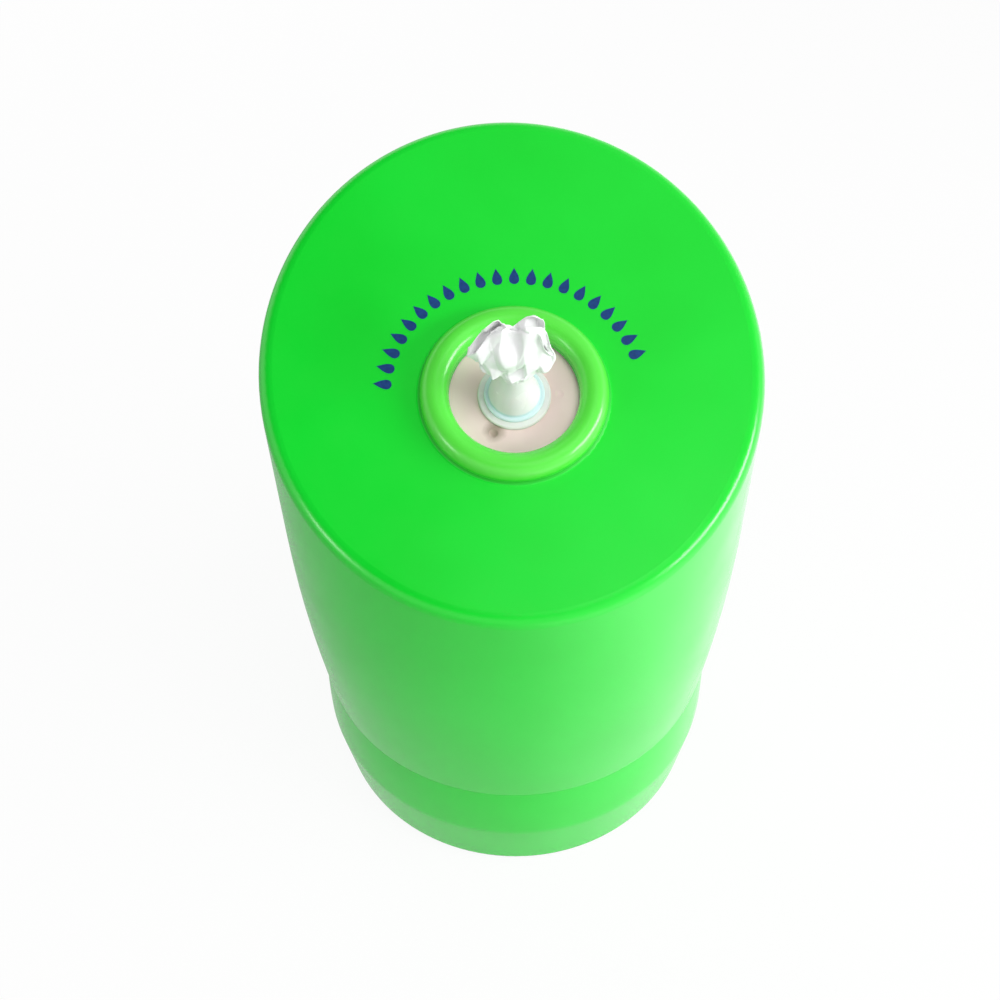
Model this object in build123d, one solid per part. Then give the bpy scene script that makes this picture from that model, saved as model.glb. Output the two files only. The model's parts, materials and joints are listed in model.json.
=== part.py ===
from build123d import *
import os
from math import cos, radians, sin, tan

# A countertop dispenser for wet wipes: a lift-off cover with a sloping top stands on a shallow
# tub, and a roll of wipes in its bag feeds from its centre through a nozzle in the slope.
# Millimetres and degrees. +Z is up, the slope falls towards the front (-Y), and the origin is
# on the body's axis, in the plane that the feet stand on.

# ---- body outline ----
BODY_R = 105.0          # straight upper wall
FACE_SLANT = 25.4       # tilt of the top face
FACE_Z = 258.0          # height of the top face on the body's axis
RIM_ROUND = 6.5         # rounded edge between the top face and the wall
WALL = 3.5
TAPER_TOP_Z = 176.0     # the wall leaves the vertical here, in one long arc down to the waist
WAIST_Z = 70.0          # parting line between cover and tub
WAIST_R = 98.3
CREST_Z = 37.0          # widest ring of the tub
CREST_R = 99.6
CREST_ROUND = 25.0
HEEL_Z = 5.0            # the tub's side ends here, above the bottom corner
HEEL_R = 95.0
HEEL_ROUND = 3.5

# ---- tub ----
TUB_BOTTOM_Z = 1.5
FLOOR_TOP_Z = 6.0
SPIGOT_R = 94.1         # upstand that the cover's skirt slides over
SPIGOT_TOP_Z = 86.0
SPIGOT_BORE_R = 89.6
SEAL_Z = 77.0
SEAL_GROOVE_R = 91.3
SEAL_GROOVE_H = 3.2
SEAL_SECTION_R = 1.4
FLOOR_RIB_H = 3.0
FLOOR_RIB_T = 2.5
FLOOR_RIB_IN_R = 12.0
FLOOR_RIB_OUT_R = 77.5
FLOOR_RIBS = 8
SIDE_RIB_IN_R = 78.5
SIDE_RIB_TOP_Z = 64.0
SIDE_RIB_LEAD = 11.0
SIDE_RIB_T = 3.0
SIDE_RIBS = 8
KEY_ANGLES = (90.0, 210.0, 330.0)
KEY_W = 10.0
KEY_BOTTOM_Z = 81.0
KEY_IN_R = 91.4
KEY_LEAD = 1.5          # chamfer that leads each key into its notch
NOTCH_DEPTH = 14.0      # the notches' cutter, right through the upstand and up past it

# ---- fits ----
LIFT_GAP = 0.35         # between the cover and everything that it lifts away from
SEAT_GAP = 0.1          # between pieces that drop into or stand on each other
OVERRUN = 1.0           # how far a cutter or a rib's root goes past the surface that it meets

# ---- cover ----
SKIRT_LAND_TOP_Z = 90.0

# ---- collar and nozzle, in the frame of the top face: its z is the face's normal ----
COLLAR_DOWN = 21.0      # from the body's axis down the slope to the collar's centre
COLLAR_HOLE_R = 26.6
COLLAR_TUBE_R = 5.9
COLLAR_LIFT = 1.6       # height of the collar's section centre, and its root's radius
POCKET_TOP = -1.2       # underside of the lip that the gasket presses against
POCKET_R = 35.7
BOSS_R = 47.0
BOSS_BOTTOM = -9.0
GASKET_T = 1.0
GASKET_IN_R = 27.4
PLATE_T = 1.5
PLATE_HOLE_R = 10.2
PLATE_DIMPLES = 3
PLATE_DIMPLE_R = 1.9
PLATE_DIMPLE_DEPTH = 0.5
PLATE_DIMPLE_AT_R = 18.4
CLAMP_BORE_R = 28.5
CLAMP_FLANGE_T = 2.5
CLAMP_R = 46.4
SCREWS = 6
SCREW_AT_R = 41.4
SCREW_R = 1.9
SCREW_HEAD_R = 3.6
SCREW_HEAD_H = 2.4
SCREW_BITE = 4.6
SCREW_TIP_GAP = 0.4
SCREW_SLOT_L = 4.3
SCREW_SLOT_W = 0.9
SCREW_SLOT_DEPTH = 1.1
NOZZLE_FLANGE_R = 15.0
NOZZLE_FLANGE_T = 1.6
NOZZLE_FLANGE_EDGE = 0.5
NOZZLE_STEP_R = 12.4
NOZZLE_STEP_T = 1.5
NOZZLE_STEP_EDGE = 0.4
NOZZLE_FOOT_R = 10.8
NOZZLE_TIP_R = 5.2
NOZZLE_TIP = 20.5
NOZZLE_TIP_EDGE = 0.8
NOZZLE_THROAT_R = 3.6
NOZZLE_INLET_R = 8.2
NOZZLE_SHANK_R = 10.0
NOZZLE_SHANK_BOTTOM = -12.5
NOZZLE_THROAT_Z = 13.0  # the funnel below the tip ends here, in the straight throat
NUT_R = 15.5
NUT_T = 5.0
NUT_FLUTES = 12
NUT_FLUTE_R = 1.3
NUT_FLUTE_AT_R = 15.8

# ---- wipes ----
ROLL_R = 75.0
ROLL_CORE_R = 14.0
ROLL_H = 150.0
ROLL_ROUND = 3.0
BAG_T = 0.8
BAG_GAP = 0.4
BAG_H = 138.0
BAG_BEAD_R = 1.2
TAIL_R = 3.1            # the leading wipe, drawn together in the nozzle
TUFT_FOOT = 21.5        # the leading wipe opens out above the nozzle's tip
TUFT_SECTIONS = (       # height above its foot, then the ellipse's centre and its half axes
    (8.0, -2.0, 1.5, 8.5, 5.0),
    (17.0, -3.5, 4.5, 14.5, 8.0),
    (27.0, -1.5, 8.5, 12.5, 7.0),
)
PERFORATION_GAP = 1.0
STRAND_R = 3.4          # the next wipe, rising out of the roll's core
STRAND_FOOT_R = 11.0
STRAND_FOOT_Z = 110.0

# ---- feet ----
FEET = 4
FOOT_R = 9.0
FOOT_H = 3.0
FOOT_AT_R = 72.0
FOOT_DRAFT = 0.6
FOOT_TURN = 45.0

# ---- worked out ----
SLOPE = tan(radians(FACE_SLANT))
COLLAR_Y = -COLLAR_DOWN * cos(radians(FACE_SLANT))
COLLAR_Z = FACE_Z - COLLAR_DOWN * sin(radians(FACE_SLANT))
COLLAR_CREST_R = COLLAR_HOLE_R + COLLAR_TUBE_R
COVER_BOTTOM_Z = WAIST_Z + SEAT_GAP
ROLL_BOTTOM_Z = FLOOR_TOP_Z + FLOOR_RIB_H + BAG_T
ROLL_TOP_Z = ROLL_BOTTOM_Z + ROLL_H
BAG_TOP_Z = ROLL_BOTTOM_Z + BAG_H
AXES_MEET = COLLAR_DOWN / SLOPE     # below the collar's centre, the nozzle's axis meets the body's
PLATE_TOP = POCKET_TOP - GASKET_T
PLATE_BOTTOM = PLATE_TOP - PLATE_T
PLATE_R = POCKET_R - SEAT_GAP
CLAMP_BOTTOM = BOSS_BOTTOM - CLAMP_FLANGE_T
FACE_FRAME = Plane(
    origin=(0, COLLAR_Y, COLLAR_Z),
    x_dir=(1, 0, 0),
    z_dir=(0, -sin(radians(FACE_SLANT)), cos(radians(FACE_SLANT))),
)
ABOVE_ALL = 340.0
REACH = 400.0


def on_face(solid):
    """Carries a solid from the face's own frame, with its origin at the collar's centre, to its place."""
    return FACE_FRAME.location * solid


def turned(lines):
    """The solid of revolution about Z of a closed outline drawn as (radius, height)."""
    return revolve(Plane.XZ * make_face(lines), axis=Axis.Z)


def tube(outer, inner, low, high):
    """A ring of rectangular section about Z."""
    ring = Cylinder(outer, high - low, align=(Align.CENTER, Align.CENTER, Align.MIN))
    bore = Cylinder(inner, high - low, align=(Align.CENTER, Align.CENTER, Align.MIN))
    return Pos(0, 0, low) * (ring - bore)


def drum(radius, low, high):
    """A plain cylinder about Z."""
    return Pos(0, 0, low) * Cylinder(radius, high - low, align=(Align.CENTER, Align.CENTER, Align.MIN))


def under_slope(depth):
    """Everything below the sloping face, or below a plane that far inside it."""
    block = Pos(0, 0, -REACH / 2) * Box(REACH * 2, REACH * 2, REACH)
    middle = FACE_Z - depth / cos(radians(FACE_SLANT))
    return Pos(0, 0, middle) * Rot(FACE_SLANT, 0, 0) * block


def round_rim(solid, radius):
    """Rounds the edge where the sloping top meets the wall."""
    rim = solid.faces().sort_by(Axis.Z)[-1].edges()
    return fillet(rim, radius)


def cover_envelope():
    """The cover's outside, without its collar."""
    side = TangentArc((BODY_R, TAPER_TOP_Z), (WAIST_R, COVER_BOTTOM_Z), tangent=(0, -1))
    rest = Polyline(
        (WAIST_R, COVER_BOTTOM_Z),
        (0, COVER_BOTTOM_Z),
        (0, ABOVE_ALL),
        (BODY_R, ABOVE_ALL),
        (BODY_R, TAPER_TOP_Z),
    )
    return round_rim(turned(side + rest) & under_slope(0), RIM_ROUND)


def cover_hollow():
    """The space inside the cover: a straight skirt round the tub's upstand, then the wall's own shape."""
    land_r = SPIGOT_R + LIFT_GAP
    wall_r = BODY_R - WALL
    side = TangentArc((wall_r, TAPER_TOP_Z), (land_r, SKIRT_LAND_TOP_Z), tangent=(0, -1))
    rest = Polyline(
        (land_r, SKIRT_LAND_TOP_Z),
        (land_r, 0),
        (0, 0),
        (0, ABOVE_ALL),
        (wall_r, ABOVE_ALL),
        (wall_r, TAPER_TOP_Z),
    )
    return round_rim(turned(side + rest) & under_slope(WALL), RIM_ROUND - WALL)


def collar():
    """The raised bead round the opening, with a hollow root that runs out into the face."""
    root_r = COLLAR_CREST_R + COLLAR_TUBE_R + COLLAR_LIFT
    bead = CenterArc((COLLAR_CREST_R, COLLAR_LIFT), COLLAR_TUBE_R, 0, 180)
    root = CenterArc((root_r, COLLAR_LIFT), COLLAR_LIFT, 180, 90)
    rest = Polyline(
        (COLLAR_HOLE_R, COLLAR_LIFT),
        (COLLAR_HOLE_R, POCKET_TOP),
        (root_r, POCKET_TOP),
        (root_r, 0),
    )
    return turned(bead + root + rest)


def cover_keys():
    """Ribs inside the skirt that drop into the notches of the tub's upstand."""
    width = KEY_W - 2 * LIFT_GAP
    depth = SPIGOT_R + WALL / 2 - KEY_IN_R - LIFT_GAP
    low = KEY_BOTTOM_Z + LIFT_GAP
    rib = Box(depth, width, SKIRT_LAND_TOP_Z - low, align=(Align.MIN, Align.CENTER, Align.MIN))
    rib = chamfer(rib.edges().group_by(Axis.X)[0].group_by(Axis.Z)[-1], KEY_LEAD)
    return [Rot(0, 0, a) * Pos(KEY_IN_R + LIFT_GAP, 0, low) * rib for a in KEY_ANGLES]


def screw_places():
    """The clamp screws' places round the nozzle, in the face's frame."""
    return PolarLocations(SCREW_AT_R, SCREWS)


def cover():
    """The lift-off cover: a moulded shell with the collar on its slope and the plate's pocket below."""
    boss = tube(BOSS_R, POCKET_R, BOSS_BOTTOM, -WALL / 2)
    pocket = drum(POCKET_R, BOSS_BOTTOM * 2, POCKET_TOP)
    opening = drum(COLLAR_HOLE_R, POCKET_TOP * 2, COLLAR_TUBE_R * 2)
    pilot = drum(SCREW_R + SEAT_GAP, BOSS_BOTTOM - OVERRUN, BOSS_BOTTOM + SCREW_BITE + SCREW_TIP_GAP)
    shell = cover_envelope() - cover_hollow()
    shell = shell + on_face(boss) + on_face(collar())
    shell = shell - on_face(pocket) - on_face(opening)
    shell = shell - [on_face(place * pilot) for place in screw_places()]
    return shell + cover_keys()


def tub_profile(inset, waist_r, floor_z):
    """Half of the tub's section up to the waist, drawn that far inside its outside."""
    crest = (CREST_R - inset, CREST_Z)
    heel = (HEEL_R - inset, HEEL_Z + inset)
    shoulder = TangentArc(crest, (waist_r, WAIST_Z), tangent=(0, 1))
    belly = Line(crest, heel)
    corner = TangentArc(heel, (HEEL_R - HEEL_ROUND - inset, floor_z), tangent=belly % 1)
    rest = Polyline(corner @ 1, (0, floor_z), (0, WAIST_Z), (waist_r, WAIST_Z))
    face = make_face(shoulder + belly + corner + rest)
    return fillet(face.vertices().sort_by_distance(crest)[0], CREST_ROUND)


def tub_solid():
    """The tub and its upstand before it is hollowed."""
    below = revolve(Plane.XZ * tub_profile(0, WAIST_R, TUB_BOTTOM_Z), axis=Axis.Z)
    return below + drum(SPIGOT_R, WAIST_Z, SPIGOT_TOP_Z)


def tub_hollow():
    """The space inside the tub, which follows the outside at the wall's thickness."""
    below = revolve(Plane.XZ * tub_profile(WALL, SPIGOT_BORE_R, FLOOR_TOP_Z), axis=Axis.Z)
    return below + drum(SPIGOT_BORE_R, WAIST_Z, ABOVE_ALL)


def side_ribs():
    """Upright ribs inside the tub that keep the roll in the middle, each with a sloped lead-in."""
    outline = Polyline(
        (SIDE_RIB_IN_R, FLOOR_TOP_Z - OVERRUN),
        (CREST_R, FLOOR_TOP_Z - OVERRUN),
        (CREST_R, SIDE_RIB_TOP_Z),
        (SPIGOT_BORE_R, SIDE_RIB_TOP_Z),
        (SIDE_RIB_IN_R, SIDE_RIB_TOP_Z - SIDE_RIB_LEAD),
        close=True,
    )
    rib = extrude(Plane.XZ * make_face(outline), SIDE_RIB_T / 2, both=True)
    turn = 360 / SIDE_RIBS
    return [Rot(0, 0, turn * (i + 0.5)) * rib for i in range(SIDE_RIBS)]


def floor_ribs():
    """Spokes on the tub's floor that hold the bag clear of spilt liquid."""
    root_z = FLOOR_TOP_Z - OVERRUN
    length = FLOOR_RIB_OUT_R - FLOOR_RIB_IN_R
    spoke = Box(length, FLOOR_RIB_T, FLOOR_RIB_H + OVERRUN, align=(Align.MIN, Align.CENTER, Align.MIN))
    spoke = Pos(FLOOR_RIB_IN_R, 0, root_z) * spoke
    turn = 360 / FLOOR_RIBS
    hub = tube(FLOOR_RIB_IN_R + FLOOR_RIB_T, FLOOR_RIB_IN_R, root_z, FLOOR_TOP_Z + FLOOR_RIB_H)
    return [hub] + [Rot(0, 0, turn * i) * spoke for i in range(FLOOR_RIBS)]


def foot_places():
    """The feet's places under the tub."""
    return PolarLocations(FOOT_AT_R, FEET, start_angle=FOOT_TURN)


def tub():
    """The tub that the cover stands on, with its upstand, seal groove, ribs, notches and foot pockets."""
    outside = tub_solid()
    ribs = [rib & outside for rib in side_ribs()]
    body = (outside - tub_hollow()) + ribs + floor_ribs()
    half = SEAL_GROOVE_H / 2
    groove = tube(SPIGOT_R + OVERRUN, SEAL_GROOVE_R, SEAL_Z - half, SEAL_Z + half)
    notch = Box(NOTCH_DEPTH, KEY_W, NOTCH_DEPTH, align=(Align.CENTER, Align.CENTER, Align.MIN))
    notch = Pos(SPIGOT_R, 0, KEY_BOTTOM_Z) * notch
    seat = drum(FOOT_R + SEAT_GAP, 0, FOOT_H)
    body = body - groove - [Rot(0, 0, a) * notch for a in KEY_ANGLES]
    return body - [place * seat for place in foot_places()]


def seal_ring():
    """The rubber ring in the upstand's groove."""
    centre_r = SEAL_GROOVE_R + SEAL_SECTION_R + SEAT_GAP / 2
    return Pos(0, 0, SEAL_Z) * Torus(centre_r, SEAL_SECTION_R)


def foot():
    """A rubber foot, a little narrower at the counter."""
    under_r = FOOT_R - FOOT_DRAFT
    sides = Polyline((0, 0), (under_r, 0), (FOOT_R, FOOT_DRAFT), (FOOT_R, FOOT_H), (0, FOOT_H), close=True)
    return turned(sides)


def plate_gasket():
    """The soft ring between the collar's lip and the plate."""
    return on_face(tube(PLATE_R, GASKET_IN_R, PLATE_TOP, POCKET_TOP))


def nozzle_plate():
    """The steel disc that shows inside the collar, with three pressed dimples round the nozzle."""
    disc = tube(PLATE_R, PLATE_HOLE_R, PLATE_BOTTOM, PLATE_TOP)
    ball_r = (PLATE_DIMPLE_R**2 + PLATE_DIMPLE_DEPTH**2) / (2 * PLATE_DIMPLE_DEPTH)
    dimples = [
        place * Pos(0, 0, PLATE_TOP + ball_r - PLATE_DIMPLE_DEPTH) * Sphere(ball_r)
        for place in PolarLocations(PLATE_DIMPLE_AT_R, PLATE_DIMPLES)
    ]
    return on_face(disc - dimples)


def clamp_ring():
    """The ring that holds the plate up from inside: a screwed flange with a raised inner wall."""
    flange = tube(CLAMP_R, CLAMP_BORE_R, CLAMP_BOTTOM, BOSS_BOTTOM)
    wall = tube(PLATE_R - SEAT_GAP, CLAMP_BORE_R, BOSS_BOTTOM, PLATE_BOTTOM)
    hole = drum(SCREW_R + SEAT_GAP * 2, CLAMP_BOTTOM - OVERRUN, BOSS_BOTTOM + OVERRUN)
    return on_face(flange + wall - [place * hole for place in screw_places()])


def clamp_screws():
    """The pan-head screws of the clamp ring, each with a cross recess."""
    head = drum(SCREW_HEAD_R, CLAMP_BOTTOM - SCREW_HEAD_H, CLAMP_BOTTOM)
    head = fillet(head.edges().group_by(Axis.Z)[0], SCREW_HEAD_H / 3)
    shank = drum(SCREW_R, CLAMP_BOTTOM, BOSS_BOTTOM + SCREW_BITE)
    slot = Pos(0, 0, CLAMP_BOTTOM - SCREW_HEAD_H) * Box(SCREW_SLOT_L, SCREW_SLOT_W, SCREW_SLOT_DEPTH * 2)
    screw = head + shank - slot - Rot(0, 0, 90) * slot
    return Compound([on_face(place * screw) for place in screw_places()])


def nozzle():
    """The translucent cone that the wipe is pulled through, with its stepped flange and its shank."""
    flange_top = PLATE_TOP + NOZZLE_FLANGE_T
    step_top = flange_top + NOZZLE_STEP_T
    outline = Polyline(
        (NOZZLE_INLET_R, NOZZLE_SHANK_BOTTOM),
        (NOZZLE_SHANK_R, NOZZLE_SHANK_BOTTOM),
        (NOZZLE_SHANK_R, PLATE_TOP),
        (NOZZLE_FLANGE_R, PLATE_TOP),
        (NOZZLE_FLANGE_R, flange_top - NOZZLE_FLANGE_EDGE),
        (NOZZLE_FLANGE_R - NOZZLE_FLANGE_EDGE, flange_top),
        (NOZZLE_STEP_R, flange_top),
        (NOZZLE_STEP_R, step_top - NOZZLE_STEP_EDGE),
        (NOZZLE_STEP_R - NOZZLE_STEP_EDGE, step_top),
        (NOZZLE_FOOT_R, step_top),
        (NOZZLE_TIP_R, NOZZLE_TIP - NOZZLE_TIP_EDGE),
        (NOZZLE_TIP_R - NOZZLE_TIP_EDGE, NOZZLE_TIP),
        (NOZZLE_THROAT_R, NOZZLE_TIP),
        (NOZZLE_THROAT_R, NOZZLE_THROAT_Z),
        (NOZZLE_INLET_R, step_top),
        close=True,
    )
    return on_face(turned(outline))


def nozzle_nut():
    """The fluted nut that draws the nozzle down on the plate from inside."""
    ring = tube(NUT_R, NOZZLE_SHANK_R + SEAT_GAP, PLATE_BOTTOM - NUT_T, PLATE_BOTTOM)
    flute = drum(NUT_FLUTE_R, PLATE_BOTTOM - NUT_T - OVERRUN, PLATE_BOTTOM + OVERRUN)
    return on_face(ring - [place * flute for place in PolarLocations(NUT_FLUTE_AT_R, NUT_FLUTES)])


def leading_wipe():
    """The wipe that is ready to pull: a tail through the nozzle and a crumpled tuft that opens above it."""
    tail = drum(TAIL_R, STRAND_R + PERFORATION_GAP - AXES_MEET, TUFT_FOOT)
    foot_section = Pos(0, 0, TUFT_FOOT) * Ellipse(TAIL_R, TAIL_R)
    sections = [Pos(x, up, TUFT_FOOT + h) * Ellipse(a, b) for h, x, up, a, b in TUFT_SECTIONS]
    return on_face(tail + loft([foot_section, *sections]))


def next_wipe():
    """The wipe behind it: a strand from the roll's core up to the perforation, where the two axes meet."""
    top = COLLAR_Z - AXES_MEET * cos(radians(FACE_SLANT))
    height = top - STRAND_FOOT_Z
    rise = Cone(STRAND_FOOT_R, STRAND_R, height, align=(Align.CENTER, Align.CENTER, Align.MIN))
    return Pos(0, 0, STRAND_FOOT_Z) * rise + Pos(0, 0, top) * Sphere(STRAND_R)


def refill_roll():
    """The roll of wipes, wound without a core tube."""
    roll = tube(ROLL_R, ROLL_CORE_R, ROLL_BOTTOM_Z, ROLL_TOP_Z)
    return fillet(roll.edges().filter_by(GeomType.CIRCLE), ROLL_ROUND)


def refill_bag():
    """The roll's bag, opened and turned down a little below the roll's top."""
    inner_r = ROLL_R + BAG_GAP
    outer_r = inner_r + BAG_T
    film = tube(outer_r, inner_r, ROLL_BOTTOM_Z - BAG_T, BAG_TOP_Z) + drum(
        outer_r, ROLL_BOTTOM_Z - BAG_T, ROLL_BOTTOM_Z
    )
    return film + Pos(0, 0, BAG_TOP_Z) * Torus(outer_r + BAG_BEAD_R / 2, BAG_BEAD_R)


PIECES = {
    "cover": cover,
    "tub": tub,
    "seal_ring": seal_ring,
    "plate_gasket": plate_gasket,
    "nozzle_plate": nozzle_plate,
    "clamp_ring": clamp_ring,
    "clamp_screws": clamp_screws,
    "nozzle": nozzle,
    "nozzle_nut": nozzle_nut,
    "leading_wipe": leading_wipe,
    "next_wipe": next_wipe,
    "refill_roll": refill_roll,
    "refill_bag": refill_bag,
}


def main():
    os.makedirs("parts", exist_ok=True)
    for name, make in PIECES.items():
        export_step(make(), f"parts/{name}.step")
    for number, place in enumerate(foot_places(), 1):
        export_step(place * foot(), f"parts/foot_{number}.step")


main()
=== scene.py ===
import json
import math
import random

import bpy
from mathutils import Matrix, Vector, noise


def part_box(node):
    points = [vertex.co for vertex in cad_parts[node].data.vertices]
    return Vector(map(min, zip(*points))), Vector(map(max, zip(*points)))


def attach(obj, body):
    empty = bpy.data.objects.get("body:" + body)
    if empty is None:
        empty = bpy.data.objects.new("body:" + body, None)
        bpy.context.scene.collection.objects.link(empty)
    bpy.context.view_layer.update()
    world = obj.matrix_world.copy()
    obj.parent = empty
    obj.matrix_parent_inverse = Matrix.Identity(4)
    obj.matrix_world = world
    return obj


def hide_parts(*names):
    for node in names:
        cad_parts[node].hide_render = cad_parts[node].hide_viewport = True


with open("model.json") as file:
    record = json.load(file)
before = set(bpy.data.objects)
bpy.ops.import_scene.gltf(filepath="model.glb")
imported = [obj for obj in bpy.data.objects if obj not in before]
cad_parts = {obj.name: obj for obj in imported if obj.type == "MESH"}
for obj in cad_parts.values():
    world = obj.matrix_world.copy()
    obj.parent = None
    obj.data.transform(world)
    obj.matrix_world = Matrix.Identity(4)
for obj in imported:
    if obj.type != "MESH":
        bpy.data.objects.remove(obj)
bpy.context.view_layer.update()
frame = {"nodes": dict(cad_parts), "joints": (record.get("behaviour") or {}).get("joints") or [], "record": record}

# Metres and radians. The face frame has its origin at the collar's centre, x to the right, u up
# the slope and n along the nozzle's axis, which is also the way that a wipe is pulled.

MM = 0.001
NODES = frame["nodes"]
PULL = next(j for j in frame["joints"] if j["name"] == "wipe_pull")
FACE_O = Vector(PULL["pos_m"])
FACE_N = Vector(PULL["axis"]).normalized()
FACE_X = Vector((1, 0, 0))
FACE_U = FACE_N.cross(FACE_X)


def on_face(x, u, n):
    """A point of the face frame, in the row's frame."""
    return FACE_O + FACE_X * x + FACE_U * u + FACE_N * n


# ---------------------------------------------------------------- meshes


def make_object(name, verts, faces, smooth=True):
    mesh = bpy.data.meshes.new(name)
    mesh.from_pydata([tuple(v) for v in verts], [], faces)
    mesh.validate()
    mesh.update()
    mesh.polygons.foreach_set("use_smooth", [smooth] * len(mesh.polygons))
    thing = bpy.data.objects.new(name, mesh)
    bpy.context.scene.collection.objects.link(thing)
    return thing


def grid_faces(rows, columns):
    """Quads between rows of points."""
    faces = []
    for r in range(rows - 1):
        for c in range(columns - 1):
            here, above = r * columns + c, (r + 1) * columns + c
            faces.append((here, here + 1, above + 1, above))
    return faces


def dress(thing, body, slot, material, *replaced):
    """Puts a made piece on its body and in its material, and hides what it stands for. The slot is not used."""
    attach(thing, body)
    thing.data.materials.clear()
    thing.data.materials.append(material)
    if replaced:
        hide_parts(*replaced)


def smooth_curve(points, count):
    """That many points along a Catmull-Rom curve through the given ones."""
    last = len(points) - 1
    out = []
    for i in range(count):
        t = i * last / (count - 1)
        k = min(int(t), last - 1)
        f = t - k
        p = [Vector(points[min(max(k + j, 0), last)]) for j in (-1, 0, 1, 2)]
        a = 2 * p[1]
        b = p[2] - p[0]
        c = 2 * p[0] - 5 * p[1] + 4 * p[2] - p[3]
        d = -p[0] + 3 * p[1] - 3 * p[2] + p[3]
        out.append(0.5 * (a + b * f + c * f * f + d * f * f * f))
    return out


# ---------------------------------------------------------------- materials


class Nodes:
    """A short way to write a node tree. A value is a number, a colour or another node's socket."""

    def __init__(self, tree):
        self.tree = tree

    def add(self, kind, **values):
        """A node. Each value goes to the input of that name, or else is a setting of the node."""
        node = self.tree.nodes.new(kind)
        for key, value in values.items():
            name = key.replace("_", " ")
            if name in node.inputs:
                node.inputs[name].default_value = value
            else:
                setattr(node, key, value)
        return node

    def link(self, source, socket):
        self.tree.links.new(source, socket)

    def put(self, value, socket):
        if isinstance(value, bpy.types.NodeSocket):
            self.link(value, socket)
        else:
            socket.default_value = value

    def number(self, operation, *values):
        node = self.add("ShaderNodeMath", operation=operation)
        for value, socket in zip(values, node.inputs):
            self.put(value, socket)
        return node.outputs[0]

    def vector(self, operation, *values):
        node = self.add("ShaderNodeVectorMath", operation=operation)
        for value, socket in zip(values, node.inputs):
            self.put(value, socket)
        return node

    def mix(self, factor, a, b, blend_type="MIX"):
        node = self.add("ShaderNodeMix", data_type="RGBA", blend_type=blend_type)
        for value, name in ((factor, "Factor"), (a, "A"), (b, "B")):
            self.put(value, node.inputs[name])
        return node.outputs["Result"]

    def ramp(self, source, *stops):
        node = self.add("ShaderNodeValToRGB")
        while len(node.color_ramp.elements) < len(stops):
            node.color_ramp.elements.new(0.5)
        for element, (at, colour) in zip(node.color_ramp.elements, stops):
            element.position = at
            element.color = (*colour, 1.0)
        self.link(source, node.inputs["Fac"])
        return node.outputs["Color"]

    def spread(self, source, low, high, low_at=0.3, high_at=0.7):
        """Maps a value from one range of numbers to another; the usual first range is a noise's."""
        node = self.add("ShaderNodeMapRange")
        node.inputs["From Min"].default_value = low_at
        node.inputs["From Max"].default_value = high_at
        node.inputs["To Min"].default_value = low
        node.inputs["To Max"].default_value = high
        self.link(source, node.inputs["Value"])
        return node.outputs["Result"]

    def separate(self, source):
        """The X, Y and Z of a vector."""
        node = self.add("ShaderNodeSeparateXYZ")
        self.link(source, node.inputs[0])
        return node.outputs


class Material(Nodes):
    """The node tree of a new material, with its Principled shader."""

    def __init__(self, name):
        self.material = bpy.data.materials.new(name)
        self.material.use_nodes = True
        super().__init__(self.material.node_tree)
        self.shader = self.tree.nodes["Principled BSDF"]
        self.output = self.tree.nodes["Material Output"]

    def place(self):
        """The object's own coordinates, in metres."""
        return self.add("ShaderNodeTexCoord").outputs["Object"]

    def height(self):
        """How far above the face the point is, along the nozzle's axis, in millimetres."""
        away = self.vector("SUBTRACT", self.place(), FACE_O)
        return self.vector("DOT_PRODUCT", away.outputs[0], FACE_N / MM).outputs["Value"]

    def noise(self, scale, detail=3.0, roughness=0.5, stretch=None):
        node = self.add("ShaderNodeTexNoise", Scale=scale, Detail=detail, Roughness=roughness)
        if stretch:
            mapping = self.add("ShaderNodeMapping")
            mapping.inputs["Scale"].default_value = stretch
            self.link(self.place(), mapping.inputs["Vector"])
            self.link(mapping.outputs["Vector"], node.inputs["Vector"])
        else:
            self.link(self.place(), node.inputs["Vector"])
        return node.outputs["Fac"]

    def bump(self, height, strength, distance, below=None):
        node = self.add("ShaderNodeBump")
        node.inputs["Strength"].default_value = strength
        node.inputs["Distance"].default_value = distance
        self.link(height, node.inputs["Height"])
        if below:
            self.link(below, node.inputs["Normal"])
        return node.outputs["Normal"]

    def finish(self, colour=None, roughness=None, normal=None, **values):
        """Links what varies over the surface, and sets what doesn't on the shader's own sockets."""
        for source, name in ((colour, "Base Color"), (roughness, "Roughness"), (normal, "Normal")):
            if source:
                self.link(source, self.shader.inputs[name])
        for key, value in values.items():
            self.shader.inputs[key.replace("_", " ")].default_value = value
        return self.material


LIME_CLOUD = ((0.3, (0.003, 0.670, 0.024)), (0.7, (0.005, 0.730, 0.031)))
# Painted light: the raised collar is coloured paler, for the light that its bead catches.
COLLAR_PAINTED_LIGHT = (0.100, 0.770, 0.060, 1.0)
COLLAR_FROM = 0.5            # the collar's painted light comes in between these heights above the face, in mm
COLLAR_TO = 3.5
CREVICE_FROM = -0.5          # heights that the stops of CREVICE are spread over, in mm
CREVICE_TO = 4.5
CREVICE = (
    (0.11, (0.0, 0.0, 0.0)),
    (0.16, (1.0, 1.0, 1.0)),
    (0.30, (1.0, 1.0, 1.0)),
    (0.44, (0.0, 0.0, 0.0)),
)
# Painted shade: this colour darkens the crevice round the collar's foot.
CREVICE_PAINTED_SHADE = (0.55, 0.72, 0.55, 1.0)
CREVICE_DULLER = 0.35        # added to the roughness


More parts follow.
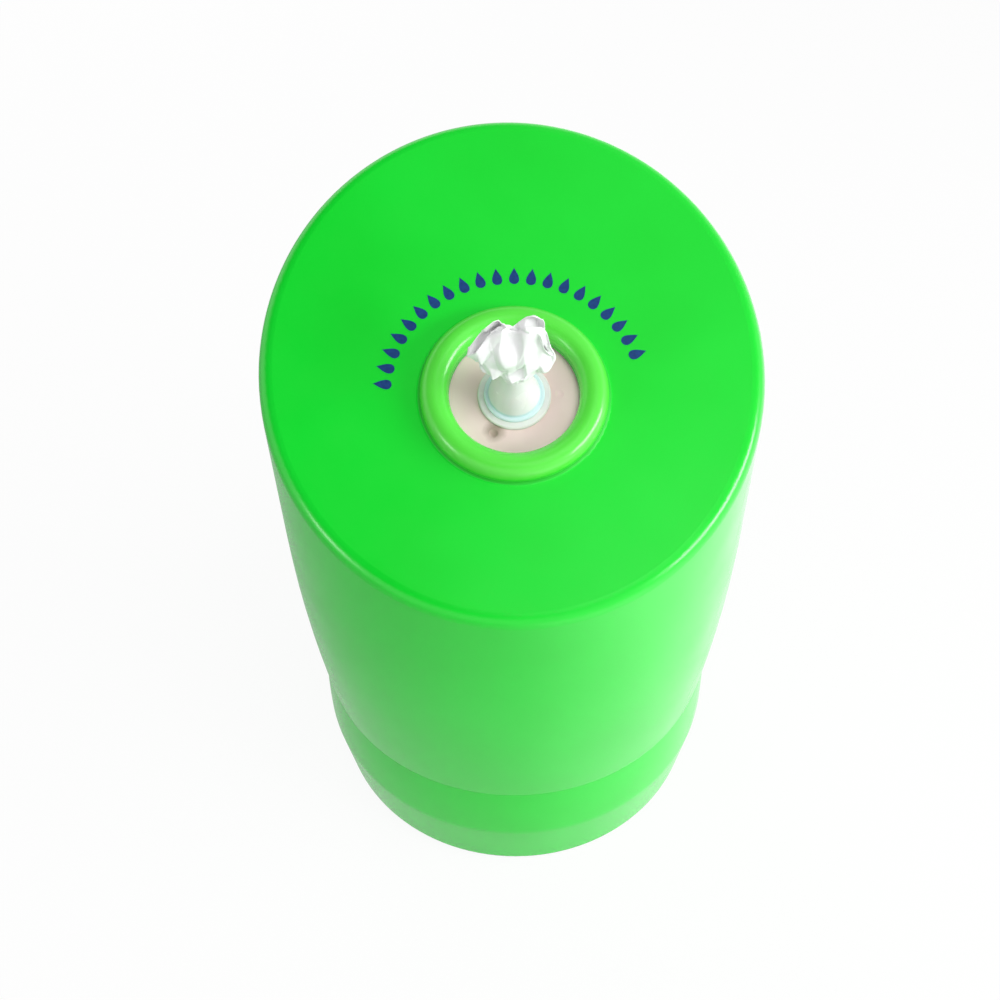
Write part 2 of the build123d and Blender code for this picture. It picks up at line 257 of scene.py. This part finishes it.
def lime_plastic():
    """Moulded polyethylene: even colour with faint clouding, an orange-peel skin and soft gloss.
    Painted light makes the collar paler; the crevice round its foot has painted shade and is duller."""
    m = Material("lime_plastic")
    cloud = m.ramp(m.noise(14.0, 2.0), *LIME_CLOUD)
    on_collar = m.spread(m.height(), 0.0, 1.0, COLLAR_FROM, COLLAR_TO)
    # painted light on the collar
    paler = m.mix(on_collar, cloud, COLLAR_PAINTED_LIGHT)
    crevice = m.ramp(m.spread(m.height(), 0.0, 1.0, CREVICE_FROM, CREVICE_TO), *CREVICE)
    # painted shade in the crevice
    darker = m.mix(crevice, paler, CREVICE_PAINTED_SHADE, "MULTIPLY")
    gloss = m.spread(m.noise(60.0, 4.0), 0.20, 0.27)
    duller = m.number("MULTIPLY_ADD", crevice, CREVICE_DULLER, gloss)
    peel = m.bump(m.noise(420.0, 2.0), 0.06, 0.00025)
    skin = m.bump(m.noise(1500.0, 3.0, 0.6), 0.08, 0.00008, peel)
    return m.finish(darker, duller, skin, IOR=1.52, Specular_IOR_Level=0.65)


# A soft brown spot beside the nozzle's flange, with a ragged edge.
SPOT_AT = (-8.5 * MM, -15.0 * MM, -2.2 * MM)
SPOT_FULL_R = 3.2 * MM
SPOT_END_R = 6.6 * MM
SPOT_WANDER = 2.4 * MM
SPOT_COLOUR = (0.30, 0.23, 0.17, 1.0)
SPOT_SHARE = 0.80


def satin_steel():
    """Fine-ground stainless: short streaks along the grain, warm grey, with one soft brown spot."""
    m = Material("satin_steel")
    grain = m.noise(900.0, 3.0, 0.6, (1.0, 0.08, 0.08))
    cloud = m.ramp(m.noise(45.0, 2.0), (0.3, (0.86, 0.67, 0.64)), (0.7, (0.92, 0.74, 0.71)))
    away = m.vector("DISTANCE", m.place(), on_face(*SPOT_AT)).outputs["Value"]
    ragged = m.number("MULTIPLY_ADD", m.noise(260.0, 3.0), SPOT_WANDER, away)
    share = m.spread(ragged, SPOT_SHARE, 0.0, SPOT_FULL_R, SPOT_END_R)
    spotted = m.mix(share, cloud, SPOT_COLOUR)
    ground = m.bump(grain, 0.15, 0.00005)
    return m.finish(spotted, m.spread(grain, 0.42, 0.58), ground, Metallic=0.08)


NOZZLE_FROM = -4.0           # heights that the stops of NOZZLE_TONES are spread over, in mm
NOZZLE_TO = 22.0
NOZZLE_TONES = (
    (0.06, (0.86, 0.85, 0.78)),
    (0.13, (0.84, 0.86, 0.82)),
    (0.16, (0.66, 0.84, 0.88)),
    (0.215, (0.70, 0.87, 0.90)),
    (0.25, (0.92, 0.965, 0.965)),
    (0.60, (0.97, 0.98, 0.975)),
)
NOZZLE_VEIL = 0.6


def clear_silicone():
    """Milky translucent rubber: a cream flange, a bluish step and a whiter cone above them."""
    m = Material("clear_silicone")
    tone = m.ramp(m.spread(m.height(), 0.0, 1.0, NOZZLE_FROM, NOZZLE_TO), *NOZZLE_TONES)
    haze = m.noise(90.0, 2.0)
    veil = m.ramp(haze, (0.35, (0.95, 0.97, 0.98)), (0.65, (1.0, 1.0, 1.0)))
    return m.finish(
        m.mix(NOZZLE_VEIL, tone, veil, "MULTIPLY"),
        m.spread(haze, 0.20, 0.30),
        IOR=1.41,
        Subsurface_Weight=0.7,
        Subsurface_Radius=(0.9, 1.0, 1.0),
        Subsurface_Scale=0.003,
    )


def wet_wipe():
    """Damp nonwoven: tangled fibres and a soft sheen."""
    m = Material("wet_wipe")
    fibre = m.noise(2600.0, 4.0, 0.7)
    web = m.noise(500.0, 3.0, 0.6, (1.0, 0.5, 0.35))
    colour = m.ramp(web, (0.3, (0.94, 0.945, 0.945)), (0.7, (0.975, 0.98, 0.98)))
    relief = m.bump(web, 0.25, 0.0002, m.bump(fibre, 0.35, 0.00008))
    return m.finish(colour, m.spread(fibre, 0.55, 0.80), relief, Sheen_Weight=0.15)


def rolled_wipe():
    """The same cloth wound tight: on the ends, thin lines of painted shade between the layers."""
    m = Material("rolled_wipe")
    place = m.separate(m.place())
    across = m.add("ShaderNodeCombineXYZ")
    m.link(place["X"], across.inputs["X"])
    m.link(place["Y"], across.inputs["Y"])
    line = m.add("ShaderNodeCombineXYZ")
    m.link(m.vector("LENGTH", across.outputs[0]).outputs["Value"], line.inputs["X"])
    texture = m.add("ShaderNodeTexNoise", Scale=1400.0, Detail=2.0)
    m.link(line.outputs[0], texture.inputs["Vector"])
    layers = texture.outputs["Fac"]
    # Painted shade: the darker bands stand for shade in the gaps between the turns.
    colour = m.ramp(layers, (0.35, (0.66, 0.67, 0.68)), (0.6, (0.90, 0.91, 0.91)))
    fibre = m.bump(m.noise(1800.0, 3.0, 0.6), 0.25, 0.0001)
    relief = m.bump(layers, 0.5, 0.0003, fibre)
    return m.finish(colour, m.spread(m.noise(60.0, 3.0), 0.6, 0.8), relief)


def plain_rubber(name, colour, grit):
    m = Material(name)
    dust = m.noise(220.0, 4.0)
    lighter = tuple(min(1.0, c * 1.6 + 0.01) for c in colour)
    dusty = m.ramp(dust, (0.35, colour), (0.75, lighter))
    return m.finish(dusty, m.spread(dust, 0.62, 0.82), m.bump(m.noise(grit, 2.0), 0.2, 0.0001))


def inner_plastic():
    m = Material("inner_plastic")
    cloud = m.noise(40.0, 3.0)
    colour = m.ramp(cloud, (0.3, (0.66, 0.68, 0.67)), (0.7, (0.74, 0.75, 0.74)))
    return m.finish(colour, m.spread(cloud, 0.40, 0.52), m.bump(m.noise(900.0, 2.0), 0.12, 0.0001))


def screw_steel():
    m = Material("screw_steel")
    wear = m.noise(500.0, 4.0)
    colour = m.ramp(wear, (0.3, (0.50, 0.51, 0.52)), (0.7, (0.70, 0.71, 0.71)))
    return m.finish(colour, m.spread(wear, 0.24, 0.42), Metallic=1.0)


def bag_film():
    m = Material("bag_film")
    crease = m.noise(90.0, 5.0, 0.6)
    colour = m.ramp(crease, (0.3, (0.74, 0.80, 0.83)), (0.7, (0.86, 0.90, 0.92)))
    gloss = m.spread(crease, 0.12, 0.26)
    relief = m.bump(crease, 0.5, 0.0006)
    return m.finish(colour, gloss, relief, Transmission_Weight=0.55, IOR=1.45)


def navy_print():
    m = Material("navy_print")
    ink = m.noise(800.0, 3.0)
    colour = m.ramp(ink, (0.3, (0.004, 0.035, 0.16)), (0.7, (0.008, 0.055, 0.23)))
    return m.finish(colour, m.spread(ink, 0.35, 0.5))


MATERIALS = {
    "lime_plastic": lime_plastic(),
    "satin_steel": satin_steel(),
    "clear_silicone": clear_silicone(),
    "inner_plastic": inner_plastic(),
    "screw_steel": screw_steel(),
    "seal_rubber": plain_rubber("seal_rubber", (0.012, 0.012, 0.013), 900.0),
    "foot_rubber": plain_rubber("foot_rubber", (0.020, 0.020, 0.021), 600.0),
    "wet_wipe": wet_wipe(),
    "rolled_wipe": rolled_wipe(),
    "bag_film": bag_film(),
    "navy_print": navy_print(),
}


def dress_nodes():
    """Gives every CAD node the finish of its material slot."""
    for part in frame["record"]["subparts"]:
        thing = NODES[part["node"]]
        thing.data.materials.clear()
        thing.data.materials.append(MATERIALS[part["material_slot"]])


dress_nodes()

# ---------------------------------------------------------------- printed arc

PRINT_R = 54.0 * MM          # middle of the row of marks, round the collar's centre
PRINT_START = math.radians(173)
PRINT_END = math.radians(17)
PRINT_MARKS = 21
PRINT_PROUD = 0.06 * MM
DROP_H = 7.8 * MM
DROP_W = 4.7 * MM
DROP_TAPER = 1.5             # how quickly a drop narrows to its tip
DROP_FULL = 1.3              # brings its widest place back to DROP_W
DROP_POINTS = 28


def drop_outline():
    """A water drop about the origin, its tip at the top."""
    points = []
    for i in range(DROP_POINTS):
        t = 2 * math.pi * i / DROP_POINTS
        across = math.sin(t) * math.sin(t / 2) ** DROP_TAPER
        points.append((across * DROP_W / 2 * DROP_FULL, math.cos(t) * DROP_H / 2))
    return points


def printed_drops():
    """A row of plain drops in an arc above the collar."""
    verts, faces = [], []
    for k in range(PRINT_MARKS):
        angle = PRINT_START + (PRINT_END - PRINT_START) * k / (PRINT_MARKS - 1)
        outward = Vector((math.cos(angle), math.sin(angle)))
        side = Vector((outward.y, -outward.x))
        base = len(verts)
        for height in (-PRINT_PROUD, PRINT_PROUD):
            for a, b in drop_outline():
                p = outward * (PRINT_R + b) + side * a
                verts.append(on_face(p.x, p.y, height))
        top = [base + DROP_POINTS + i for i in range(DROP_POINTS)]
        faces.append(top[::-1])
        for i in range(DROP_POINTS):
            j = (i + 1) % DROP_POINTS
            faces.append((base + i, base + j, top[j], top[i]))
    drops = make_object("printed_drops", verts, faces, smooth=False)
    dress(drops, "cover_body", "lime_plastic", MATERIALS["navy_print"])


printed_drops()

# ---------------------------------------------------------------- wipes

WIPE_W = 150.0 * MM          # across, which is the roll's height
WIPE_L = 110.0 * MM          # from one perforation to the next
WIPE_T = 0.25 * MM
WIPE_COLUMNS = 301
TAIL_R = 2.9 * MM            # a wipe drawn together in the nozzle's throat
TAIL_PLEATS = 29
TAIL_PLEAT_DEPTH = 0.45      # of the strand's radius
TAIL_TURN_L = 60 * MM        # length in which the tail twists by one radian
TAIL_N = -39.4 * MM          # its lower end
TAIL_ROWS = 22
NECK_N = 19.8 * MM           # just inside the nozzle's tip, where the wipe opens out
LIP_R = 5.2 * MM             # where its pleats have come out, just over the tip
LIP_RISE = 2.0 * MM
TUFT_L = 45 * MM             # length of the wipe that stands above the neck
TUFT_ROWS = 48
CREASES = 7                  # sets of straight folds that were pressed into it
CREASE_SEED = 11
CREASE_LEAST = 5.0 * MM      # distance between the folds of a set
CREASE_MOST = 16.0 * MM
CREASE_DEPTH = 0.070         # of that distance
CREASE_FROM = 0.2            # share of the tuft below which the pleats still hide the creases
CREASE_RATE = 2.5            # and how quickly they come out above it

# Stations across the leading wipe: along its back from right to left, round its left tip, along its
# front to the right, and back inside. Each has the point that pulls the wipe outwards over the
# nozzle's tip and the point on its free edge, as (right, upslope, height) in millimetres.
TUFT_STATIONS = (
    ((10, 3, 27), (11, 6, 40)),
    ((7, 6, 30), (9.5, 8, 48)),
    ((3, 6, 32), (5, 8.5, 49)),
    ((0, 4, 33), (-0.3, 7.6, 43)),
    ((-3, 6, 32), (-4, 10, 47)),
    ((-7, 5, 31), (-8, 9.5, 46.5)),
    ((-10, 4, 29), (-12, 7.5, 43)),
    ((-14, 2, 26), (-16, 5, 38)),
    ((-16, -1, 24.5), (-18.5, 4.5, 35.5)),
    ((-13, -4, 22.5), (-14.5, 2.4, 37)),
    ((-9, -8, 21.5), (-10, 4.6, 42.5)),
    ((-4, -10, 20.5), (-5, 5.5, 45.5)),
    ((1, -11, 20.5), (0, 4.5, 43)),
    ((6, -10, 21), (4.5, 5.5, 47.5)),
    ((11, -7, 22), (9.5, 4, 44)),
    ((15.5, -2, 23), (14, 0, 33)),
    ((15, 1, 26), (14, 2.5, 38)),
    ((9, 1, 30), (9.5, 6.2, 46)),
    ((4, 1, 31), (4, 7.2, 48)),
    ((0, 0, 31), (0, 6, 42.5)),
    ((-4, 1, 31), (-5, 7.6, 46)),
    ((-9, 1, 29), (-10, 5.5, 43)),
)


def pleated(path, columns, reach, pleats, depth):
    """Squeezes a fold path into a strand of that radius, with small pleats across it."""
    furthest = max(p.length for p in path)
    out = []
    for i in range(columns):
        p = path[i] * (reach - depth) / furthest
        ahead = path[min(i + 1, columns - 1)] - path[max(i - 1, 0)]
        side = Vector((-ahead.y, ahead.x)).normalized()
        out.append(p + side * depth * math.sin(2 * math.pi * pleats * i / (columns - 1)))
    return out


def crease_sets():
    """For each set of folds its slant, the distance between them, where it starts and its push."""
    dice = random.Random(CREASE_SEED)
    sets = []
    for k in range(CREASES):
        apart = CREASE_LEAST + (CREASE_MOST - CREASE_LEAST) * k / (CREASES - 1)
        push = Vector([dice.uniform(-1, 1) for _ in range(3)]).normalized()
        sets.append((dice.uniform(0, math.pi), apart, dice.random(), push * apart * CREASE_DEPTH))
    return sets


def crumple(across, along, creases):
    """The push on a point of the flat sheet, with sharp creases and flat facets between them."""
    total = Vector()
    for slant, apart, start, push in creases:
        place = (across * math.cos(slant) + along * math.sin(slant)) / apart + start
        total += push * (abs(place % 1.0 - 0.5) * 4 - 1)
    return total


def thicken(thing, thickness):
    solid = thing.modifiers.new("thickness", "SOLIDIFY")
    solid.thickness = thickness
    solid.offset = 0.0


def leading_wipe():
    """The wipe that stands ready: one gathered sheet, packed in the nozzle and open above it.
    Gives back the fold path that the sheet is gathered along, seen from above."""
    flares = smooth_curve([Vector(flare) * MM for flare, edge in TUFT_STATIONS], WIPE_COLUMNS)
    edges = smooth_curve([Vector(edge) * MM for flare, edge in TUFT_STATIONS], WIPE_COLUMNS)
    centre = sum((Vector((m.x, m.y)) for m in flares), Vector((0, 0))) / WIPE_COLUMNS
    plan = [Vector((m.x, m.y)) - centre for m in flares]
    creases = crease_sets()
    verts = []
    tail = pleated(plan, WIPE_COLUMNS, TAIL_R, TAIL_PLEATS, TAIL_R * TAIL_PLEAT_DEPTH)
    for r in range(TAIL_ROWS):
        n = TAIL_N + (NECK_N - TAIL_N) * r / TAIL_ROWS
        twist = Matrix.Rotation((NECK_N - n) / TAIL_TURN_L, 2)
        verts += [on_face(*(twist @ p), n) for p in tail]
    opened = LIP_R / max(p.length for p in plan)
    for r in range(TUFT_ROWS):
        t = r / (TUFT_ROWS - 1)
        s = 1 - t
        along = WIPE_L - s * TUFT_L
        amount = min(1.0, max(0.0, t - CREASE_FROM) * CREASE_RATE)
        for c in range(WIPE_COLUMNS):
            neck = Vector((*tail[c], NECK_N))
            lip = Vector((*(plan[c] * opened), NECK_N + LIP_RISE))
            p = neck * s ** 3 + lip * 3 * t * s ** 2 + flares[c] * 3 * t * t * s + edges[c] * t ** 3
            p += crumple(WIPE_W * c / (WIPE_COLUMNS - 1), along, creases) * amount
            verts.append(on_face(*p))
    wipe = make_object("leading_wipe_sheet", verts, grid_faces(TAIL_ROWS + TUFT_ROWS, WIPE_COLUMNS))
    thicken(wipe, WIPE_T)
    dress(wipe, "wipe", "wet_wipe", MATERIALS["wet_wipe"], "leading_wipe")
    return plan


STRAND_ROWS = 60
STRAND_TOP_R = 3.1 * MM
STRAND_FLARE = 1.6           # how quickly it narrows above the roll's core
STRAND_TURN = 2.2            # radians that it twists on its way up
STRAND_FILL = 0.97           # of the radius, so that the cloth's thickness stays inside it
STRAND_PLEAT_MOST = 1.3 * MM
STRAND_WANDER = 0.4 * MM     # unevenness at its foot, and the size of its patches
STRAND_PATCH = 9 * MM


def next_wipe(plan):
    """The wipe behind it: a gathered, twisted strand that rises out of the roll's core."""
    low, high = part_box("next_wipe")
    foot_r = (high.x - low.x) / 2
    verts = []
    for r in range(STRAND_ROWS):
        t = r / (STRAND_ROWS - 1)
        reach = STRAND_TOP_R + (foot_r - STRAND_TOP_R) * (1 - t) ** STRAND_FLARE
        depth = min(reach * TAIL_PLEAT_DEPTH, STRAND_PLEAT_MOST)
        twist = Matrix.Rotation(STRAND_TURN * t, 2)
        z = low.z + (high.z - low.z) * t
        for p in pleated(plan, WIPE_COLUMNS, reach * STRAND_FILL, TAIL_PLEATS, depth):
            q = twist @ p
            patch = noise.noise(Vector((q.x, q.y, z)) / STRAND_PATCH)
            wander = patch * STRAND_WANDER * (1 - t)
            verts.append(Vector((q.x + wander, q.y + wander, z)))
    strand = make_object("next_wipe_sheet", verts, grid_faces(STRAND_ROWS, WIPE_COLUMNS))
    thicken(strand, WIPE_T)
    dress(strand, "root", "wet_wipe", MATERIALS["wet_wipe"], "next_wipe")


next_wipe(leading_wipe())

# ---------------------------------------------------------------- refill

AROUND = 192                 # points round the roll and the bag

ROLL_TURNS = 30              # bunched turns that can be told apart on the roll's end
ROLL_RIDGE = 0.45 * MM       # their height on the upper end
ROLL_RIDGE_BELOW = 0.5       # and the share of it on the lower one
ROLL_CORE_R = 14.3 * MM
ROLL_SOFT = 2.5 * MM         # width of its soft edges, and how far they drop
ROLL_DROP = 1.2 * MM
ROLL_INSET = 0.3 * MM        # how far it stays inside its solid
ROLL_WAVE = 0.25 * MM
ROLL_WAVE_L = 22 * MM
ROLL_END_RINGS = 120
ROLL_SIDE_RINGS = 24
ROLL_CORE_RINGS = 12

BAG_INSET = 2.5 * MM         # room for the rim that is turned down outside it
BAG_FILM = 0.35 * MM
BAG_RIM_FILM = 0.25 * MM
BAG_CURL_R = 0.7 * MM
BAG_CURL_STEPS = 8
BAG_CURL_ROOM = 1.2 * MM     # above the mouth
BAG_HANG = 9 * MM            # how far the rim is turned down
BAG_WALL_RINGS = 40
BAG_MIDDLE_R = 1.0 * MM
BAG_SEED = 7
BAG_GATHERS = 7              # sets of waves that run round the bag
BAG_WAVES = (18, 60)         # least and most waves in a set
BAG_START = (0, 6.28)        # least and most angle that it starts at
BAG_SHARE = (0.3, 1.0)       # least and most share of the depths below that it has
BAG_GATHERED = 30 * MM       # from the mouth down, the gathers die away over this height
BAG_FOLD_LEAST = 0.08 * MM   # depth of the gathers below that
BAG_FOLD_MORE = 0.42 * MM    # and what is added to it at the mouth


def revolve_mesh(name, profile, shift):
    """Turns a closed profile of (radius, height) points about Z, and moves each point by
    shift(angle, radius, height)."""
    verts = []
    for i in range(AROUND):
        angle = 2 * math.pi * i / AROUND
        for radius, z in profile:
            dr, dz = shift(angle, radius, z)
            r = radius + dr
            verts.append(Vector((r * math.cos(angle), r * math.sin(angle), z + dz)))
    n = len(profile)
    faces = []
    for i in range(AROUND):
        j = (i + 1) % AROUND
        for k in range(n):
            m = (k + 1) % n
            faces.append((i * n + k, j * n + k, j * n + m, i * n + m))
    return make_object(name, verts, faces)


def refill_roll():
    """The wound roll: its turns show as a spiral on both ends, a little uneven, with soft edges."""
    low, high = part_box("refill_roll")
    outer = high.x - ROLL_INSET
    core = ROLL_CORE_R
    wide = outer - core
    lift = ROLL_RIDGE + ROLL_INSET
    top_z, bottom_z = high.z - lift, low.z + lift
    profile = [(core + wide * k / ROLL_END_RINGS, top_z) for k in range(ROLL_END_RINGS + 1)]
    for k in range(1, ROLL_SIDE_RINGS):
        profile.append((outer, top_z + (low.z - high.z + 2 * lift) * k / ROLL_SIDE_RINGS))
    for k in range(ROLL_END_RINGS + 1):
        profile.append((outer + (core - outer) * k / ROLL_END_RINGS, bottom_z))
    for k in range(1, ROLL_CORE_RINGS):
        profile.append((core, bottom_z + (high.z - low.z - 2 * lift) * k / ROLL_CORE_RINGS))

    def shift(angle, radius, z):
        edge = max(0.0, radius - (outer - ROLL_SOFT)) / ROLL_SOFT
        rim = max(0.0, (core + ROLL_SOFT) - radius) / ROLL_SOFT
        drop = (edge ** 3 + rim ** 3) * ROLL_DROP
        turn = (radius - core) / wide * ROLL_TURNS + angle / (2 * math.pi)
        ridge = abs(turn % 1.0 - 0.5) * 2 * ROLL_RIDGE
        here = Vector((radius * math.cos(angle), radius * math.sin(angle), z))
        wave = noise.noise(here / ROLL_WAVE_L) * ROLL_WAVE
        if z > high.z - 2 * lift:
            return 0.0, ridge - ROLL_RIDGE / 2 + wave - drop
        if z < low.z + 2 * lift:
            return 0.0, ROLL_RIDGE / 2 - ridge * ROLL_RIDGE_BELOW + drop
        return (wave if radius > core * 2 else 0.0), 0.0

    roll = revolve_mesh("refill_roll_wound", profile, shift)
    dress(roll, "root", "wet_wipe", MATERIALS["rolled_wipe"], "refill_roll")


def refill_bag():
    """The film bag, turned down at its mouth, with gathers that grow towards the mouth."""
    low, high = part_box("refill_bag")
    inner = high.x - BAG_INSET
    outer = inner + BAG_FILM
    mouth = high.z - BAG_CURL_ROOM
    steps = range(1, BAG_CURL_STEPS + 1)
    walls = range(BAG_WALL_RINGS + 1)
    profile = [(outer, low.z + (mouth - low.z) * k / BAG_WALL_RINGS) for k in walls]
    for a in [math.pi * k / BAG_CURL_STEPS for k in steps]:
        profile.append((outer + BAG_CURL_R * (1 - math.cos(a)), mouth + BAG_CURL_R * math.sin(a)))
    hang = [(outer + 2 * BAG_CURL_R, mouth - BAG_HANG * k / BAG_CURL_STEPS) for k in steps]
    profile += hang + [(r - BAG_RIM_FILM, z) for r, z in reversed(hang)]
    profile += [(inner, mouth - (mouth - low.z - BAG_FILM) * k / BAG_WALL_RINGS) for k in walls]
    profile += [(BAG_MIDDLE_R, low.z + BAG_FILM), (BAG_MIDDLE_R, low.z)]
    random.seed(BAG_SEED)
    gathers = [
        (random.randint(*BAG_WAVES), random.uniform(*BAG_START), random.uniform(*BAG_SHARE))
        for _ in range(BAG_GATHERS)
    ]

    def shift(angle, radius, z):
        up = max(0.0, (z - (mouth - BAG_GATHERED)) / BAG_GATHERED)
        fold = sum(a * math.sin(n * angle + p) for n, p, a in gathers) / len(gathers)
        side = 1.0 if radius > inner - MM else 0.0
        return side * fold * (BAG_FOLD_LEAST + BAG_FOLD_MORE * up), 0.0

    bag = revolve_mesh("refill_bag_film", profile, shift)
    dress(bag, "root", "bag_film", MATERIALS["bag_film"], "refill_bag")


refill_roll()
refill_bag()

# ---------------------------------------------------------------- camera

PHOTO_PX = 1000.0
SENSOR_MM = 36.0
CAMERA_F_PX = 1200.0
CAMERA_AT = Vector((-17.7, -388.3, 569.9)) * MM
CAMERA_PITCH = math.radians(46.0)
CAMERA_YAW = math.radians(1.70)
CAMERA_ROLL = math.radians(-1.21)
CAMERA_CLIP = (0.01, 50.0)


def make_camera():
    """The photograph's camera, from the fit of the CAD's outline to it."""
    data = bpy.data.cameras.new("camera")
    data.sensor_width = SENSOR_MM
    data.lens = CAMERA_F_PX / PHOTO_PX * SENSOR_MM
    data.clip_start, data.clip_end = CAMERA_CLIP
    camera = bpy.data.objects.new("camera", data)
    bpy.context.scene.collection.objects.link(camera)
    flat = math.cos(CAMERA_PITCH)
    ahead = Vector(
        (math.sin(CAMERA_YAW) * flat, math.cos(CAMERA_YAW) * flat, -math.sin(CAMERA_PITCH))
    )
    right = ahead.cross(Vector((0, 0, 1))).normalized()
    up = right.cross(ahead)
    c, s = math.cos(CAMERA_ROLL), math.sin(CAMERA_ROLL)
    right, up = right * c + up * s, up * c - right * s
    turn = Matrix((right, up, -ahead)).transposed().to_4x4()
    camera.matrix_world = Matrix.Translation(CAMERA_AT) @ turn
    bpy.context.scene.camera = camera


# ---------------------------------------------------------------- floor and light

FLOOR_HALF = 6.0
FLOOR_GREY = 0.88
FLOOR_SHOWN = 0.93           # share of pure white that the camera sees; the rest keeps the shadow

# Painted reflection: how brightly the table glows to reflections, from 0.4 m left of the object to 0.4 m
# right of it, brighter on the right. The colours of a ramp end at 1, so they hold the part of MIRROR_MOST.
MIRROR_X = 0.40
MIRROR_MOST = 2.0
MIRROR_LEVELS = ((0.0, 0.50), (0.25, 0.60), (0.5, 0.80), (0.75, 1.60), (1.0, 1.80))

# The backdrop as light: its level by height, from the horizon up, and its share from left to right
LIGHT_LEVELS = ((0.0, 0.65), (0.60, 0.55), (1.0, 0.60))
LIGHT_SHARES = (0.34, 0.85)

# The backdrop as it is seen: white at the horizon, and overhead a dim ceiling, a little brighter on
# the right. The ranges are parts of the direction's length, upwards and sideways.
BACKDROP = (0.97, 0.97, 0.97, 1)
CEILING_Z = (0.42, 0.66)
CEILING_X = (-0.16, 0.16)
CEILING_LEVELS = (0.0, 0.36)

# Name, place, height of its aim on the body's axis, width, height, watts, and if it is mirrored
LAMPS = (
    ("key", (1.41, -0.57, 0.69), 0.20, 1.2, 0.38, 16.0, True),
    ("over", (0.35, -0.60, 1.50), 0.25, 0.8, 0.8, 10.5, False),
    ("back", (-0.50, 1.30, 0.80), 0.20, 0.8, 0.6, 5.0, False),
    ("fill", (-1.2, -0.7, 0.6), 0.20, 0.4, 0.3, 2.0, True),
)


def grey_stops(levels, most=1.0):
    return [(at, (level / most,) * 3) for at, level in levels]


def seen_directly(nodes, by_camera=1.0):
    """1 where a reflection or glass looks at the surface, that share where the camera does, and 0
    where the surface only gives light."""
    rays = nodes.add("ShaderNodeLightPath").outputs
    mirrored = nodes.number("ADD", rays["Is Glossy Ray"], rays["Is Transmission Ray"])
    return nodes.number("MULTIPLY_ADD", rays["Is Camera Ray"], by_camera, mirrored)


def make_floor():
    """A white table with a faint soft shadow; to reflections it glows brighter on the right, as painted light."""
    half = FLOOR_HALF
    verts = [(-half, -half, 0), (half, -half, 0), (half, half, 0), (-half, half, 0)]
    floor = make_object("floor", verts, [(0, 1, 2, 3)], smooth=False)
    m = Material("floor")
    m.finish(Base_Color=(FLOOR_GREY, FLOOR_GREY, FLOOR_GREY, 1.0), Roughness=0.9)
    across = m.spread(m.separate(m.place())["X"], 0.0, 1.0, -MIRROR_X, MIRROR_X)
    part = m.ramp(across, *grey_stops(MIRROR_LEVELS, MIRROR_MOST))
    level = m.add("ShaderNodeMix", data_type="FLOAT")
    m.link(m.add("ShaderNodeLightPath").outputs["Is Glossy Ray"], level.inputs["Factor"])
    level.inputs["A"].default_value = 1.0
    m.link(m.number("MULTIPLY", part, MIRROR_MOST), level.inputs["B"])
    glow = m.add("ShaderNodeEmission")
    m.link(level.outputs["Result"], glow.inputs["Strength"])
    surface = m.add("ShaderNodeMixShader")
    m.link(seen_directly(m, by_camera=FLOOR_SHOWN), surface.inputs["Fac"])
    m.link(m.shader.outputs[0], surface.inputs[1])
    m.link(glow.outputs[0], surface.inputs[2])
    m.link(surface.outputs[0], m.output.inputs["Surface"])
    floor.data.materials.append(m.material)


def make_world():
    """A white backdrop under a dim ceiling. The light from it is stronger on the right."""
    world = bpy.data.worlds.new("studio")
    bpy.context.scene.world = world
    world.use_nodes = True
    world.node_tree.nodes.clear()
    w = Nodes(world.node_tree)
    way = w.separate(w.add("ShaderNodeTexCoord").outputs["Generated"])
    lit = w.add("ShaderNodeVectorMath", operation="SCALE")
    w.link(w.ramp(way["Z"], *grey_stops(LIGHT_LEVELS)), lit.inputs[0])
    w.link(w.spread(way["X"], *LIGHT_SHARES, -1.0, 1.0), lit.inputs["Scale"])
    overhead = w.spread(way["Z"], 0.0, 1.0, *CEILING_Z)
    ceiling = w.spread(way["X"], *CEILING_LEVELS, *CEILING_X)
    shown = w.mix(overhead, BACKDROP, ceiling)
    shine = w.add("ShaderNodeBackground")
    w.link(w.mix(seen_directly(w), lit.outputs[0], shown), shine.inputs["Color"])
    w.link(shine.outputs[0], w.add("ShaderNodeOutputWorld").inputs["Surface"])


def make_lamp(name, at, aim_z, width, height, watts, mirrored):
    data = bpy.data.lights.new(name, "AREA")
    data.shape = "RECTANGLE"
    data.size = width
    data.size_y = height
    data.energy = watts
    lamp = bpy.data.objects.new(name, data)
    bpy.context.scene.collection.objects.link(lamp)
    lamp.location = at
    lamp.rotation_mode = "QUATERNION"
    lamp.rotation_quaternion = (Vector((0, 0, aim_z)) - Vector(at)).to_track_quat("-Z", "Y")
    lamp.visible_glossy = mirrored


bpy.context.scene.view_settings.view_transform = "Standard"
make_camera()
make_floor()
make_world()
for lamp in LAMPS:
    make_lamp(*lamp)
